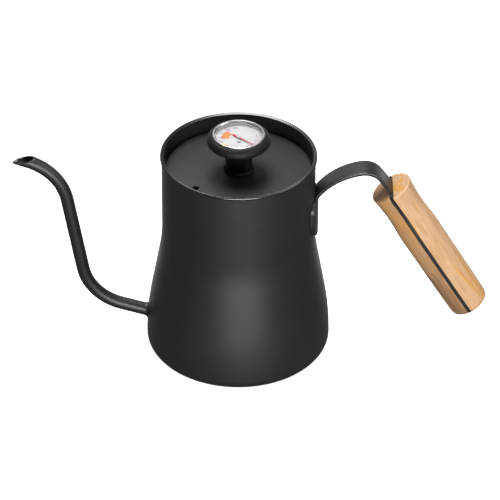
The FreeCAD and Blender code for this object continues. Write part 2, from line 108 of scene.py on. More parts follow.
# Handle strap
STRAP_T, STRAP_W = 2.0, 14.0
STRAP_FOOT_Z = 97.0        # hidden start of the band, inside the pad
STRAP_ROOT_Z = 104.6
STRAP_STEPS = ((0, 6.6, -39.7), (0.6, 40.4, -37.8), (1.0, 11.5, -66.2), (6.8, 30.0, -5.3))
STRAP_EDGE = 0.55
STRAP_CUP_RUN = 5.0        # over which the band turns from hollow to flat
STRAP_OVERLAP = 0.9        # hidden end of the band, inside the tang
PAD_TOP, PAD_BOTTOM, PAD_HALF_W = 105.5, 79.8, 15.5
PAD_SHOULDER_R, PAD_TOE_R = 6.0, 13.0
PAD_EDGE = 0.6
WELD_SPOTS = ((-11.2, 92.0), (11.2, 92.0))
WELD_SPOT_R, WELD_SPOT_DEPTH = 1.7, 0.3

# Grip
GRIP_TILT = math.radians(-sum(turn for _, _, turn in STRAP_STEPS))
GRIP_START = 1.2
GRIP_LEN = 97.0
GRIP_TOP_EDGE, GRIP_END_EDGE, GRIP_ARRIS = 1.3, 3.2, 0.5
GRIP_PROFILE = ((0, 12.85), (1.3, 12.7), (8, 12.0), (16, 11.6), (24, 11.9), (32, 12.35),
                (45, 12.3), (78, 12.15), (97, 11.9))   # along, radius
TANG_SHOULDER, TANG_SHOULDER_R = 0.8, 11.2
TANG_CORNER_R, TANG_EDGE = 0.5, 0.25
SCREW_PLACES = (23.0, 74.0)
SCREW_R, SCREW_HOLE_R = 2.0, 2.2
HEAD_R, HEAD_H, HEAD_POCKET_R = 3.7, 2.2, 4.0
HEAD_SEAT, SCREW_REACH = 8.2, 8.5
HEX_SOCKET, SOCKET_DEPTH = 2.5, 1.2

# Lid and knob
LID_R, LID_TOP = LID_HIGH.y, LID_HIGH.z
LID_SHEET = 1.0
STEAM_HOLE_R = 1.9
STEAM_HOLE_AT = (-24.9, -20.2)
STEAM_HOLE_SINK = 0.35     # depth of the bevel round it
SKIRT_R, SKIRT_SHEET, SKIRT_FLANGE_R = 37.6, 0.7, 33.5
SEAL_IN_R, SEAL_R, SEAL_LIP_R = 37.8, 38.9, 39.9
BOSS_R, BORE_R = 5.0, 4.0
POCKET_R, POCKET_FLOOR = 15.4, 140.9
KNOB_FOOT_R, KNOB_NECK_R, COLLAR_R = 8.8, 8.0, KNOB_HIGH.y
KNOB_NECK_FROM, KNOB_NECK_TO = LID_TOP + 3.2, 138.0

# Thermometer
BEZEL_R, WINDOW_R = BEZEL_HIGH.y, 13.7
CASE_R, CASE_WALL = 14.8, 0.5
CASE_IN_R = CASE_R - CASE_WALL
RETAINER_IN_R = 13.5
STEM_R, STEM_BORE_R, STEM_PLUG_TOP = 2.0, 1.7, 36.5
DIAL_TOP = DIAL_HIGH.z
PRINT_T = 0.03
SCALE_START, SCALE_SWEEP, SCALE_MAX = 13.0, -270.0, 110    # degrees, degrees, temperature
MARK_END_R = 13.1
LONG_MARK, SHORT_MARK = (11.9, 0.22), (12.5, 0.12)         # inner end and width
NUMBER_R, NUMBER_SIZE, NUMBER_WEIGHT = 10.55, 2.1, 0.06
UNIT_Y, UNIT_SIZE, UNIT_WEIGHT = -4.1, 1.8, 0.22
HOT_ZONE, WARM_ZONE = (77, 98, 5.6, 10.0), (59, 66, 9.9, 11.3)   # temperatures, then radii
HUB_R, SHAFT_R = 1.2, 0.4
NEEDLE_REACH, NEEDLE_TAIL, NEEDLE_ANGLE = 11.0, 4.7, math.radians(-41.0)
NEEDLE_BOTTOM, NEEDLE_TOP = 143.85, 144.1
NEEDLE_HALF_W, NEEDLE_TIP_HALF_W = 0.45, 0.16
TAIL_WEIGHT_LEN, TAIL_WEIGHT_HALF_W = 0.6, 0.75
NEEDLE_EDGE = 0.06

# Mesh fineness
SEGMENTS = 192
ARC_STEP = math.radians(9)
CREASE = math.radians(32)

# View
CAMERA_TARGET = Vector((6.95, 0, 64.35))
CAMERA_DISTANCE, CAMERA_ELEVATION = 2000.0, math.radians(35.2)
CAMERA_ROLL = 0.0065
SENSOR, LENS = 36.0, 242.35
FLOOR_GAP = 0.0002

# Lights: azimuth from the camera's side towards the handle, elevation, distance in metres, width,
# height and brightness
SOFTBOXES = {
    "front": (6, 6, 0.9, 0.7, 0.22, 17.0),
    "overhead": (-158, 74, 1.6, 0.9, 0.9, 9.5),
    "side": (80, 38, 1.3, 0.7, 0.7, 2.5),
    "back": (-152, 36, 1.8, 1.4, 0.9, 0.5),
    "backdrop": (180, -12.5, 2.2, 3.4, 1.7, 1.5),
}
LIGHTS_AIM = Vector((0, 0, 0.08))
ROOM_BRIGHTNESS, FLOOR_GLOW = 0.12, 0.88


# ---------------------------------------------------------------- outlines

def rounded(corners):
    """Points of a closed outline; a corner is (x, y) or (x, y, radius of its round)."""
    points = []
    for i, corner in enumerate(corners):
        here = Vector(corner[:2])
        if len(corner) == 2:
            points.append(here)
            continue
        before = (Vector(corners[i - 1][:2]) - here).normalized()
        after = (Vector(corners[(i + 1) % len(corners)][:2]) - here).normalized()
        half = before.angle(after) / 2
        centre = here + (before + after).normalized() * corner[2] / math.sin(half)
        arm = here + before * corner[2] / math.tan(half) - centre
        turn = math.pi - 2 * half
        side = 1 if before.x * after.y - before.y * after.x < 0 else -1
        steps = max(3, math.ceil(turn / ARC_STEP))
        for k in range(steps + 1):
            points.append(centre + Matrix.Rotation(side * turn * k / steps, 2) @ arm)
    return points


def polar(radius, angle):
    return (radius * math.cos(angle), radius * math.sin(angle))


def quarter(steps):
    """Sine and cosine at even steps from nothing to a right angle."""
    turns = [math.pi / 2 * k / steps for k in range(steps + 1)]
    return [(math.sin(turn), math.cos(turn)) for turn in turns]


def arc_about(centre, radius, start, end):
    """Points of an arc about a centre, angles in degrees."""
    steps = max(3, math.ceil(abs(math.radians(end - start)) / ARC_STEP))
    angles = [math.radians(start + (end - start) * k / steps) for k in range(steps + 1)]
    return [(centre[0] + radius * math.cos(a), centre[1] + radius * math.sin(a)) for a in angles]


def arc_through(start, middle, end):
    """Points of the arc from start to end that passes through middle."""
    a, b, c = Vector(start), Vector(middle), Vector(end)
    p, q = b - a, c - a
    cross = 2 * (p.x * q.y - p.y * q.x)
    pp, qq = p.length_squared, q.length_squared
    centre = a + Vector((q.y * pp - p.y * qq, p.x * qq - q.x * pp)) / cross
    first = math.degrees(math.atan2(*(a - centre).yx))
    last = math.degrees(math.atan2(*(c - centre).yx))
    way = 1 if cross > 0 else -1
    sweep = (last - first) * way % 360
    return arc_about(centre, (a - centre).length, first, first + way * sweep)


def dense(points, longest):
    """A closed outline with no stretch longer than asked."""
    out = []
    for a, b in zip(points, points[1:] + points[:1]):
        parts = max(1, math.ceil((b - a).length / longest))
        out += [a.lerp(b, k / parts) for k in range(parts)]
    return out


def through(points, x):
    """Smooth curve through (x, y) points."""
    for i in range(len(points) - 1):
        if x <= points[i + 1][0]:
            break
    before, after = points[max(i - 1, 0)], points[min(i + 2, len(points) - 1)]
    (x0, y0), (x1, y1) = points[i], points[i + 1]
    m0 = (y1 - before[1]) / (x1 - before[0]) * (x1 - x0)
    m1 = (after[1] - y0) / (after[0] - x0) * (x1 - x0)
    t = (x - x0) / (x1 - x0)
    return ((2 * t ** 3 - 3 * t ** 2 + 1) * y0 + (t ** 3 - 2 * t ** 2 + t) * m0
            + (3 * t ** 2 - 2 * t ** 3) * y1 + (t ** 3 - t ** 2) * m1)


class Route:
    """Straight runs and tangent arcs in the XZ plane; at() gives a place and its heading."""

    def __init__(self, start, heading, steps):
        self.parts = []
        self.length = 0.0
        self.here = Vector(start)
        self.heading = math.radians(heading)
        for run, radius, turn in steps:
            self.add(run, 0.0, 0.0)
            self.add(abs(math.radians(turn)) * radius, radius, math.radians(turn))

    def add(self, length, radius, turn):
        if not length:
            return
        self.parts.append((self.length, length, radius, turn, self.here, self.heading))
        self.here, self.heading = self.at(self.length + length)
        self.length += length

    def at(self, s):
        for start, length, radius, turn, here, heading in self.parts:
            if s <= start + length + TINY:
                break
        share = (s - start) / length
        if not turn:
            return here + Vector((math.cos(heading), math.sin(heading))) * (s - start), heading
        side = math.copysign(math.pi / 2, turn)
        arm = heading - side
        centre = here - Vector((math.cos(arm), math.sin(arm))) * radius
        arm += turn * share
        return centre + Vector((math.cos(arm), math.sin(arm))) * radius, heading + turn * share

    def point(self, s, out, across):
        """The place at s, moved by out to the left of the heading and by across along Y."""
        here, heading = self.at(s)
        return Vector((here.x - math.sin(heading) * out, across, here.y + math.cos(heading) * out))


# ---------------------------------------------------------------- meshes

def bridge(bm, lower, upper):
    """Faces between two rings of vertices; a ring of one vertex is a pole."""
    count = max(len(lower), len(upper))
    if count == 1:
        return
    for k in range(count):
        j = (k + 1) % count
        corners = [lower[k % len(lower)], lower[j % len(lower)],
                   upper[j % len(upper)], upper[k % len(upper)]]
        bm.faces.new(list(dict.fromkeys(corners)))


def skin(rings, loop=False, caps=False):
    """Surface through rings of points; loop joins the last ring to the first."""
    bm = bmesh.new()
    made = [[bm.verts.new(point * MM) for point in ring] for ring in rings]
    for lower, upper in zip(made, made[1:]):
        bridge(bm, lower, upper)
    if loop:
        bridge(bm, made[-1], made[0])
    if caps:
        bm.faces.new(made[0])
        bm.faces.new(made[-1])
    return bm


def lathe(corners, segments=SEGMENTS):
    """Outline of (radius, height) corners turned about the Z axis."""
    rings = []
    turns = [2 * math.pi * k / segments for k in range(segments)]
    for point in rounded(corners):
        x, z = point
        if x < TINY:
            rings.append([Vector((0, 0, z))])
        else:
            rings.append([Vector((*polar(x, a), z)) for a in turns])
    return skin(rings, loop=True)


def prism(points, bottom, top):
    """Upright block over a convex outline."""
    return skin([[Vector((x, y, z)) for x, y in points] for z in (bottom, top)], caps=True)


def as_mesh(name, bm):
    """Mesh of a bmesh, which it uses up."""
    mesh = bpy.data.meshes.new(name)
    bm.to_mesh(mesh)
    bm.free()
    return mesh


def add_object(name, data):
    made = bpy.data.objects.new(name, data)
    bpy.context.scene.collection.objects.link(made)
    return made


def turned_to(bm, matrix):
    bmesh.ops.transform(bm, matrix=matrix, verts=bm.verts)
    return bm


def joined(parts):
    """Several bmeshes as one, side by side."""
    whole = bmesh.new()
    for part in parts:
        mesh = as_mesh("part", part)
        whole.from_mesh(mesh)
        bpy.data.meshes.remove(mesh)
    return whole


def combined(base, tool, operation):
    """Boolean of two closed bmeshes: UNION, DIFFERENCE or INTERSECT."""
    holders = []
    for bm in (base, tool):
        bmesh.ops.recalc_face_normals(bm, faces=bm.faces)
        holders.append(add_object("part", as_mesh("part", bm)))
    change = holders[0].modifiers.new("combine", "BOOLEAN")
    change.operation = operation
    change.solver = "EXACT"
    change.object = holders[1]
    evaluated = holders[0].evaluated_get(bpy.context.evaluated_depsgraph_get())
    result = bmesh.new()
    result.from_mesh(evaluated.to_mesh())
    for holder in holders:
        mesh = holder.data
        bpy.data.objects.remove(holder)
        bpy.data.meshes.remove(mesh)
    bmesh.ops.dissolve_degenerate(result, dist=1e-7, edges=result.edges)
    return result


def piece(name, bm, body, paint, stands_for=()):
    """Finished object from a bmesh: shaded smooth between creases, painted and tied to its body."""
    bmesh.ops.recalc_face_normals(bm, faces=bm.faces)
    for face in bm.faces:
        face.smooth = True
    for edge in bm.edges:
        edge.smooth = len(edge.link_faces) == 2 and edge.calc_face_angle(0) < CREASE
    mesh = as_mesh(name, bm)
    mesh.materials.append(paint)
    made = add_object(name, mesh)
    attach(made, body)
    if stands_for:
        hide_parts(*stands_for)
    return made


def repaint(made, paint, chosen):
    """Give the chosen faces of a piece a paint of their own."""
    made.data.materials.append(paint)
    for face in made.data.polygons:
        if chosen(face):
            face.material_index = 1


# ---------------------------------------------------------------- materials

class Paint:
    """A Principled material and short calls for its procedural nodes."""

    def __init__(self, name, colour, roughness, **sockets):
        self.material = bpy.data.materials.new(name)
        self.material.use_nodes = True
        self.tree = self.material.node_tree
        self.shader = self.tree.nodes["Principled BSDF"]
        self.place = self.tree.nodes.new("ShaderNodeTexCoord").outputs["Object"]
        self.set("Base Color", (*colour, 1.0))
        self.set("Roughness", roughness)
        for socket, value in sockets.items():
            self.set(socket.replace("_", " "), value)

    def set(self, socket, value):
        self.connect(self.shader, socket, value)

    def connect(self, node, socket, value):
        if isinstance(value, bpy.types.NodeSocket):
            self.tree.links.new(value, node.inputs[socket])
        else:
            node.inputs[socket].default_value = value

    def node(self, kind, inputs, **settings):
        made = self.tree.nodes.new("ShaderNode" + kind)
        for key, value in settings.items():
            setattr(made, key, value)
        for key, value in inputs.items():
            self.connect(made, key, value)
        return made

    def noise(self, grain, stretch=(1, 1, 1), detail=3.0, distortion=0.0):
        """Noise with lumps of about grain millimetres, longer along an axis with a small stretch."""
        spot = self.node("Mapping", {"Vector": self.place, "Scale": stretch})
        made = self.node("TexNoise", {"Vector": spot.outputs["Vector"], "Scale": 1 / (grain * MM),
                                      "Detail": detail, "Distortion": distortion})
        return made.outputs["Fac"]

    def ramp(self, source, stops):
        """Colours or greys by position from 0 to 1."""
        made = self.node("ValToRGB", {"Fac": source})
        elements = made.color_ramp.elements
        while len(elements) < len(stops):
            elements.new(0.5)
        for element, (position, colour) in zip(elements, stops):
            element.position = position
            element.color = (*colour, 1.0)
        return made.outputs["Color"]

    def spread(self, source, low, high, start=0.3, end=0.7):
        """Value from low to high while the source goes from start to end."""
        made = self.node("MapRange", {"Value": source, "From Min": start, "From Max": end,
                                      "To Min": low, "To Max": high})
        return made.outputs["Result"]

    def mix(self, share, first, second, way="MIX"):
        """Two colours mixed or blended."""
        made = self.node("Mix", {}, data_type="RGBA", blend_type=way)
        colour_inputs = [s for s in made.inputs if s.type == "RGBA"]
        self.connect(made, "Factor", share)
        for socket, value in zip(colour_inputs, (first, second)):
            if isinstance(value, bpy.types.NodeSocket):
                self.tree.links.new(value, socket)
            else:
                socket.default_value = (*value, 1.0)
        return next(s for s in made.outputs if s.type == "RGBA")

    def bump(self, source, depth, strength=1.0, under=None):
        """Relief of about depth millimetres."""
        inputs = {"Height": source, "Distance": depth * MM, "Strength": strength}
        if under:
            inputs["Normal"] = under
        normal = self.node("Bump", inputs).outputs["Normal"]
        self.set("Normal", normal)
        return normal


def powder_coat(name, roughness, shine):
    """Fine matt black powder coat with a faint orange peel."""
    paint = Paint(name, (0.01, 0.01, 0.01), roughness, Specular_IOR_Level=shine)
    tone = paint.noise(30, detail=2.0)
    paint.set("Base Color", paint.ramp(tone, ((0.3, (0.0095, 0.0092, 0.0094)),
                                              (0.7, (0.012, 0.0116, 0.012)))))
    paint.set("Roughness", paint.spread(paint.noise(9), roughness - 0.02, roughness + 0.02))
    peel = paint.bump(paint.noise(1.4, detail=1.0), 0.01, 0.35)
    paint.bump(paint.noise(0.22, detail=2.0), 0.006, 0.5, under=peel)
    return paint.material


def knob_plastic(name, roughness, relief):
    """Moulded black plastic; relief is the strength of its spark-eroded texture."""
    paint = Paint(name, (0.004, 0.004, 0.004), roughness, Specular_IOR_Level=0.35)
    paint.set("Roughness", paint.spread(paint.noise(4), roughness - 0.04, roughness + 0.04))
    paint.bump(paint.noise(0.35, detail=3.0), 0.012, relief)
    return paint.material


def bare_steel():
    """Satin stainless steel, brushed around the axis."""
    paint = Paint("bare_steel", (0.6, 0.59, 0.57), 0.32, Metallic=1.0)
    lines = paint.noise(0.5, stretch=(0.04, 0.04, 6.0), detail=2.0)
    paint.set("Base Color", paint.ramp(lines, ((0.25, (0.52, 0.51, 0.49)),
                                               (0.75, (0.66, 0.65, 0.63)))))
    paint.set("Roughness", paint.spread(lines, 0.26, 0.4))
    paint.bump(lines, 0.002, 0.3)
    return paint.material


def polished_steel():
    """Bright rolled steel with faint wipe marks."""
    paint = Paint("polished_steel", (0.8, 0.8, 0.81), 0.3, Metallic=1.0)
    paint.set("Roughness", paint.spread(paint.noise(3, detail=4.0), 0.26, 0.34))
    paint.bump(paint.noise(0.8), 0.001, 0.2)
    return paint.material


def aluminium():
    """Plain sawn aluminium."""
    paint = Paint("core_aluminium", (0.75, 0.75, 0.76), 0.4, Metallic=1.0)
    paint.set("Roughness", paint.spread(paint.noise(1.5), 0.34, 0.48))
    return paint.material


def brass():
    """Turned brass, slightly dulled."""
    paint = Paint("brass", (0.8, 0.6, 0.28), 0.3, Metallic=1.0)
    paint.set("Roughness", paint.spread(paint.noise(0.8), 0.24, 0.4))
    return paint.material


def silicone(name, colour):
    """Matt moulded rubber."""
    paint = Paint(name, colour, 0.6)
    paint.set("Roughness", paint.spread(paint.noise(2), 0.55, 0.66))
    paint.bump(paint.noise(0.4), 0.01, 0.4)
    return paint.material


def glass():
    """Clear lens, almost without a reflection."""
    paint = Paint("clear_glass", (0.97, 0.985, 0.98), 0.02, Transmission_Weight=1.0, IOR=1.22)
    paint.set("Roughness", paint.spread(paint.noise(5), 0.01, 0.03))
    return paint.material


def enamel(name, colour, unevenness=0.06):
    """Printed or sprayed coat on the gauge's small parts."""
    paint = Paint(name, colour, 0.5, Specular_IOR_Level=0.2)
    pale = tuple(c * (1 + unevenness) for c in colour)
    dark = tuple(c * (1 - unevenness) for c in colour)
    paint.set("Base Color", paint.ramp(paint.noise(2.5), ((0.3, dark), (0.7, pale))))
    paint.bump(paint.noise(0.6), 0.001, 0.2)
    return paint.material


def wood(name, pale, deep, amber):
    """Oiled beech: broad streaks, fine fibres and short dark flecks along the grip."""
    paint = Paint(name, pale, 0.5, Specular_IOR_Level=0.25)
    upright = paint.node("Mapping", {"Vector": paint.place, "Rotation": (0, -GRIP_TILT, 0)})
    paint.place = upright.outputs["Vector"]
    along = 0.07
    bands = paint.noise(7.5, stretch=(1, 1, along * 2), detail=3.0, distortion=0.6)
    base = paint.ramp(bands, ((0.34, deep), (0.45, pale), (0.54, pale), (0.64, amber)))
    fibres = paint.noise(0.55, stretch=(1, 1, along / 2), detail=4.0)
    fibre_tone = paint.ramp(fibres, ((0.3, (0.84, 0.79, 0.74)), (0.7, (1.08, 1.08, 1.08))))
    base = paint.mix(1.0, base, fibre_tone, "MULTIPLY")
    flecks = paint.noise(0.9, stretch=(1, 1, along * 2.2), detail=1.0)
    fleck_share = paint.spread(flecks, 0.0, 0.35, 0.66, 0.74)
    base = paint.mix(fleck_share, base, tuple(c * 0.55 for c in deep))
    paint.set("Base Color", base)
    paint.set("Roughness", paint.spread(fibres, 0.4, 0.55))
    paint.bump(fibres, 0.03, 0.5)
    return paint.material


COAT = powder_coat("powder_coat", 0.45, 0.75)
THIN_COAT = powder_coat("powder_coat_edge", 0.26, 1.0)     # drawn thin and glossy over edges
PLASTIC = knob_plastic("knob_plastic", 0.6, 0.6)
SMOOTH_PLASTIC = knob_plastic("knob_plastic_smooth", 0.24, 0.05)     # the knob's neck is left smooth
STEEL = bare_steel()
CHROME = polished_steel()
BRASS = brass()
RUBBER = silicone("black_silicone", (0.03, 0.03, 0.03))
PALE_RUBBER = silicone("grey_silicone", (0.5, 0.5, 0.5))
GLASS = glass()
DIAL_WHITE = enamel("dial_white", (0.39, 0.386, 0.39), unevenness=0.015)
WALL_GREY = enamel("gauge_wall_grey", (0.42, 0.42, 0.42))
INK = enamel("dial_ink", (0.26, 0.08, 0.24))
BLACK_INK = enamel("dial_black", (0.015, 0.015, 0.015))
ORANGE = enamel("dial_orange", (0.5, 0.165, 0.055))
YELLOW = enamel("dial_yellow", (0.75, 0.46, 0.12))
NEEDLE_RED = enamel("needle_red", (0.5, 0.04, 0.075))
HUB_GREY = enamel("needle_hub_grey", (0.3, 0.29, 0.29))
BEECH = wood("beech", (0.74, 0.47, 0.27), (0.64, 0.37, 0.18), (0.76, 0.41, 0.11))
# A darker copy of the same beech for the inner half: painted shade for the strap's shadow and for the
# side turned away from the light.
SHADED_BEECH = wood("beech_painted_shade", (0.52, 0.31, 0.16), (0.32, 0.18, 0.095), (0.6, 0.32, 0.12))


# ---------------------------------------------------------------- vessel

def wall_radius(z):
    """Outer radius of the vessel on its lower, swelling part."""
    return BELLY_R - BELLY_ARC_R + math.sqrt(BELLY_ARC_R ** 2 - (z - CORNER_R) ** 2)


def spout_axis():
    """Start of the spout and its direction there."""
    start = Vector((SPOUT_ROOT[0], 0, SPOUT_ROOT[1]))
    heading = math.radians(SPOUT_HEADING)
    return start, Vector((math.cos(heading), 0, math.sin(heading)))


def vessel():
    """Outer wall with its rim and floor, bored for the spout."""
    belly_z = CORNER_R + BELLY_ARC_R * math.tan(FLARE_ANGLE / 2)
    flare_z = belly_z + (BELLY_R - NECK_R) / math.tan(FLARE_ANGLE)
    bead = (BEAD_CENTRE_R, RIM_TOP - BEAD_R * math.sin(math.radians(RIM_FLAT[0])))
    outer_angle = -math.degrees(math.acos((NECK_R - BEAD_CENTRE_R) / BEAD_R))
    inner_angle = 180 + math.degrees(math.acos((BEAD_CENTRE_R - NECK_R + WALL) / BEAD_R))
    bead_out = arc_about(bead, BEAD_R, outer_angle, RIM_FLAT[0])
    bead_in = arc_about(bead, BEAD_R, RIM_FLAT[1], inner_angle)
    inside = BELLY_R - WALL
    bm = lathe([
        (0, CAPSULE_H),
        *arc_about((BELLY_R - CORNER_R, CORNER_R), CORNER_R, -30, 0),
        (BELLY_R, belly_z, BELLY_ARC_R),
        (NECK_R, flare_z, FLARE_ARC_R),
        *bead_out[:-1],
        (*bead_out[-1], RIM_ARRIS),
        (*bead_in[0], RIM_ARRIS),
        *bead_in[1:],
        (NECK_R - WALL, flare_z, FLARE_ARC_R + WALL),
        (inside, belly_z, BELLY_ARC_R - WALL),
        (inside, CAPSULE_H + WALL, FLOOR_CORNER_R),
        (0, CAPSULE_H + WALL),
    ])
    start, along = spout_axis()
    drill = lathe([(0, 0), (SPOUT_BORE_R + 0.3, 0), (SPOUT_BORE_R + 0.3, 12), (0, 12)], 48)
    aim = along.to_track_quat("Z", "Y").to_matrix().to_4x4()
    bm = combined(bm, turned_to(drill, Matrix.Translation(start * MM) @ aim), "DIFFERENCE")
    made = piece("vessel", bm, "kettle", COAT, ("body_shell", "body_floor"))
    repaint(made, THIN_COAT, lambda face: face.center.z > (RIM_TOP - 1.9 * BEAD_R) * MM)


def base_dish():
    """Dish under the base, closed against the vessel's corner."""
    centre = (BELLY_R - CORNER_R, CORNER_R)
    bm = lathe([
        (0, 0),
        *arc_about(centre, CORNER_R, -90, -30.5),
        *arc_about(centre, CORNER_R - CAP_SHEET, -33, -90),
        (0, CAP_SHEET),
    ])
    piece("base_dish", bm, "kettle", COAT, ("base_cap",))


def crossing(height, low, high):
    """Where height(s) turns from negative to positive between low and high."""
    for _ in range(40):
        middle = (low + high) / 2
        if height(middle) < 0:
            low = middle
        else:
            high = middle
    return low


def spout():
    """Bent pipe with a slanting mouth, and a weld that swells its foot."""
    route = Route(SPOUT_ROOT, SPOUT_HEADING, SPOUT_STEPS)
    mouth_up = Vector((-math.sin(MOUTH_SLOPE), 0, math.cos(MOUTH_SLOPE)))
    turns = [2 * math.pi * k / SPOUT_TURNS for k in range(SPOUT_TURNS)]

    def rim(angle, radius):
        """How far along the pipe the mouth cuts it at an angle."""
        def height(s):
            spot = route.point(s, *polar(radius, angle))
            return (spot - MOUTH_LIP) @ mouth_up
        return crossing(height, route.length - 45, route.length)

    def root(angle, radius, inset):
        """How far along the pipe the vessel's wall cuts it at an angle."""
        def height(s):
            spot = route.point(s, *polar(radius, angle))
            return math.hypot(spot.x, spot.y) - wall_radius(spot.z) + inset
        return crossing(height, 0, 20)

    def ring(radius, share, inset, back=0.0, grow=None):
        """One ring of the wall, at a share of the way from the vessel to the mouth."""
        made = []
        for angle in turns:
            low, high = root(angle, radius, inset), rim(angle, radius) - back
            s = low + share * (high - low)
            r = radius + (grow(s - low) if grow else 0.0)
            made.append(route.point(s, *polar(r, angle)))
        return made

    def weld(distance):
        """Extra radius at a distance from the wall."""
        left = max(0.0, 1 - distance / WELD_RUN)
        return (WELD_R - SPOUT_R) * left ** 2.2

    near = [0.35 * k / route.length for k in range(12)]
    rest = 1 - near[-1]
    shares = near + [near[-1] + rest * k / SPOUT_LENGTHS for k in range(1, SPOUT_LENGTHS + 1)]
    outer = [ring(SPOUT_R, share, 0.4, LIP_ROUND, weld) for share in shares]
    lip_out = ring(SPOUT_R - LIP_ROUND * 0.3, 1, 0.4, LIP_ROUND * 0.3)
    lip_top = ring(SPOUT_R - LIP_ROUND, 1, 0.4)
    lip_in = ring(SPOUT_BORE_R + LIP_ROUND, 1, WALL)
    bore = [ring(SPOUT_BORE_R, share, WALL, LIP_ROUND) for share in reversed(shares)]
    bm = skin([*outer, lip_out, lip_top, lip_in, *bore], loop=True)
    made = piece("spout_pipe", bm, "kettle", COAT, ("spout_tube",))
    first_inside = (len(outer) + 1) * len(turns)
    last_inside = first_inside + (len(bore) + 1) * len(turns)
    repaint(made, THIN_COAT, lambda face: first_inside <= face.index < last_inside)


def seat_ring():
    """Pressed channel inside the neck that carries the lid."""
    neck = SEAT_HIGH.x
    under = SEAT_HIGH.z - WALL
    bm = lathe([
        (neck, SEAT_LOW.z),
        (neck, SEAT_HIGH.z, 0.3),
        (SEAT_BORE_R, SEAT_HIGH.z, 0.7),
        (SEAT_BORE_R, SEAT_LIP_BOTTOM, 0.2),
        (SEAT_BORE_R + WALL, SEAT_LIP_BOTTOM, 0.2),
        (SEAT_BORE_R + WALL, under, 0.3),
        (neck - WALL, under, 0.3),
        (neck - WALL, SEAT_LOW.z),
    ])
    piece("seat_ring", bm, "kettle", COAT, ("lid_seat_ring",))


# ---------------------------------------------------------------- handle

def grip_frame():
    """The grip's own frame: its Z runs down the tang and its -X faces outwards."""
    route = strap_route()
    start = route.point(route.length, 0, 0)
    down = Vector((math.cos(route.heading), 0, math.sin(route.heading)))
    return Matrix.Translation((start + down * GRIP_START) * MM) @ Matrix.Rotation(GRIP_TILT, 4, "Y")


def screw_frame(along):
    """Place of a screw in the grip's frame: its Z points to the screw's head."""
    return Matrix.Translation((0, 0, along * MM)) @ Matrix.Rotation(math.pi / 2, 4, "Y")


def strap_route():
    """Middle line of the strap, from inside the pad to the top of the tang."""
    foot = (NECK_R + STRAP_T / 2, STRAP_FOOT_Z)
    return Route(foot, 90, ((STRAP_ROOT_Z - STRAP_FOOT_Z, 0, 0), *STRAP_STEPS))


def strap_band():
    """Flat bar from inside the pad to the top of the tang, hollowed to the neck at its foot."""
    route = strap_route()
    half_t, half_w = STRAP_T / 2, STRAP_W / 2
    edge = (STRAP_EDGE,)
    section = dense(rounded([(-half_t, -half_w) + edge, (half_t, -half_w) + edge,
                             (half_t, half_w) + edge, (-half_t, half_w) + edge]), 1.2)
    root = STRAP_ROOT_Z - STRAP_FOOT_Z
    middle = NECK_R + half_t
    rings = []
    count = math.ceil(route.length / 0.8)
    for k in range(count + 1):
        s = route.length * k / count
        cup = max(0.0, 1 - max(0.0, s - root) / STRAP_CUP_RUN) ** 2
        rings.append([route.point(s, out + cup * (middle - math.sqrt(middle ** 2 - y * y)), y)
                      for out, y in section])
    direction = Vector((math.cos(route.heading), 0, math.sin(route.heading)))
    rings.append([p + direction * (GRIP_START + STRAP_OVERLAP) for p in rings[-1]])
    return skin(rings, caps=True)


def strap_pad():
    """Rounded tab wrapped round the neck, with two spot-weld dimples."""
    w, top, bottom = PAD_HALF_W, PAD_TOP, PAD_BOTTOM
    outline = dense(rounded([(w, top, PAD_SHOULDER_R), (-w, top, PAD_SHOULDER_R),
                             (-w, bottom, PAD_TOE_R), (w, bottom, PAD_TOE_R)]), 0.8)
    middle = Vector((0, (top + bottom) / 2))
    face_r = NECK_R + STRAP_T

    def ring(shrink, inset, radius, dimpled=False):
        made = []
        for point in outline:
            arm = point - middle
            y, z = middle + arm * shrink - arm.normalized() * inset
            depth = 0.0
            if dimpled:
                gaps = [math.hypot(y - spot[0], z - spot[1]) for spot in WELD_SPOTS]
                depth = WELD_SPOT_DEPTH * math.exp(-(min(gaps) / WELD_SPOT_R) ** 4)
            r = radius - depth
            made.append(Vector((math.sqrt(r * r - y * y), y, z)))
        return made

    back_r = NECK_R - WALL / 2
    rings = [[Vector((back_r, 0, middle.y))]]
    rings += [ring(k / 4, 0, back_r) for k in range(1, 5)]
    for sine, cosine in quarter(5):
        rings.append(ring(1, PAD_EDGE * (1 - cosine), face_r - PAD_EDGE * (1 - sine)))
    rings += [ring(1 - k / 30, PAD_EDGE, face_r, True) for k in range(1, 29)]
    rings.append([Vector((face_r, 0, middle.y))])
    return skin(rings)


def tang():
    """Flat plate between the wooden halves, in the grip's own frame."""
    r = GRIP_PROFILE[0][1]
    side = [Vector((TANG_SHOULDER_R - TANG_CORNER_R, -TANG_SHOULDER)),
            Vector((TANG_SHOULDER_R, -TANG_SHOULDER + TANG_CORNER_R)),
            Vector((TANG_SHOULDER_R, 0.1))]
    side += [Vector((r - 0.1, along)) for along in (1.3, 2.5)]
    side += [Vector((through(GRIP_PROFILE, along) - 0.02, along)) for along in range(5, 94, 3)]
    end_r = through(GRIP_PROFILE, GRIP_LEN - GRIP_END_EDGE)
    side += [Vector(p) for p in arc_about((end_r - GRIP_END_EDGE, GRIP_LEN - GRIP_END_EDGE),
                                          GRIP_END_EDGE, 0, 90)]
    outline = side + [Vector((-p.x, p.y)) for p in reversed(side)]
    half = STRAP_T / 2 - 0.03
    centre = Vector((0, GRIP_LEN / 2))
    rings = []
    for sine, cosine in quarter(3):
        rings.append((TANG_EDGE * (1 - sine), -half + TANG_EDGE * (1 - cosine)))
    rings += [(inset, -x) for inset, x in reversed(rings)]

    def shrunk(point, inset):
        arm = point - centre
        return point - Vector((math.copysign(inset, arm.x), math.copysign(inset, arm.y)))

    return skin([[Vector((x, *shrunk(p, inset))) for p in outline] for inset, x in rings], caps=True)


